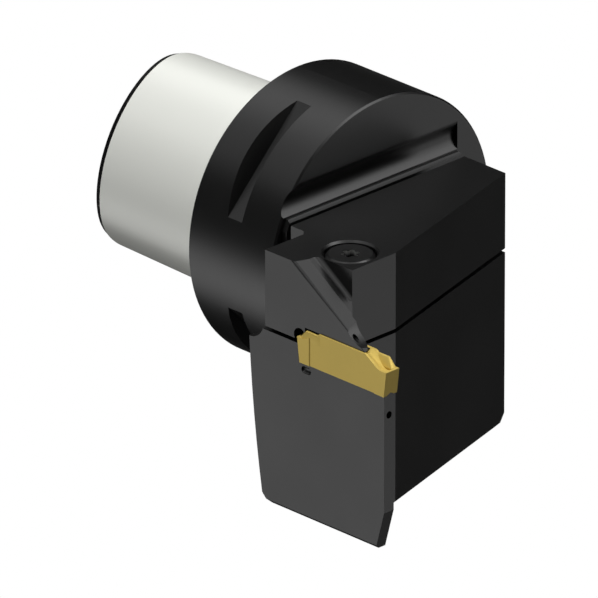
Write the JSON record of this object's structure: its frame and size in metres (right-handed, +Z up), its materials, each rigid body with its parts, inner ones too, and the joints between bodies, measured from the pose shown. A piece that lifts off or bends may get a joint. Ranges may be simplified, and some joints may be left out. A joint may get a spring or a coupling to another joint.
{
  "type": "parting and grooving tool holder",
  "caption": "Tool holder with a polygon taper shank, a thin deep blade and a screw-clamped jaw that holds a two-ended grooving insert.",
  "frame": {"origin": "centre of the gauge face, where the flange meets the taper shank, on the tool axis", "axes": "+X along the tool axis towards the cutting edge, +Z up, the blade and insert on the -Y side"},
  "size_m": [0.0868, 0.0611, 0.0569],
  "materials": {
    "black_oxide_steel": "black oxide with a ground bright shank",
    "coated_carbide": "satin gold coating",
    "screw_steel": "black oxide",
    "seal_rubber": "matt"
  },
  "bodies": {
    "holder": {"holder_body": "black_oxide_steel", "bridge_seal_ring": "seal_rubber", "body_drilling_plug": "screw_steel", "riser_drilling_plug": "screw_steel"},
    "jaw": {"upper_jaw": "black_oxide_steel", "jaw_drilling_plug": "screw_steel"},
    "screw": {"clamp_screw": "screw_steel"},
    "insert": {"grooving_insert": "coated_carbide"}
  },
  "joints": [
    {"name": "clamp_screw_turn", "type": "hinge", "parent": "holder", "child": "screw", "pos_m": [0.0391, -0.0266, 0], "axis": [0, 0, 1], "range_deg": [0, 180]},
    {"name": "jaw_flex", "type": "hinge", "parent": "holder", "child": "jaw", "pos_m": [0.0228, 0, 0.0011], "axis": [0, -1, 0], "range_deg": [0, 0.35]},
    {"name": "insert_slide", "type": "slide", "parent": "holder", "child": "insert", "axis": [1, 0, 0], "range_m": [0, 0.022]}
  ],
  "couplings": [
    {"joint": "jaw_flex", "follows": "clamp_screw_turn", "ratio": 0.0016667}
  ]
}
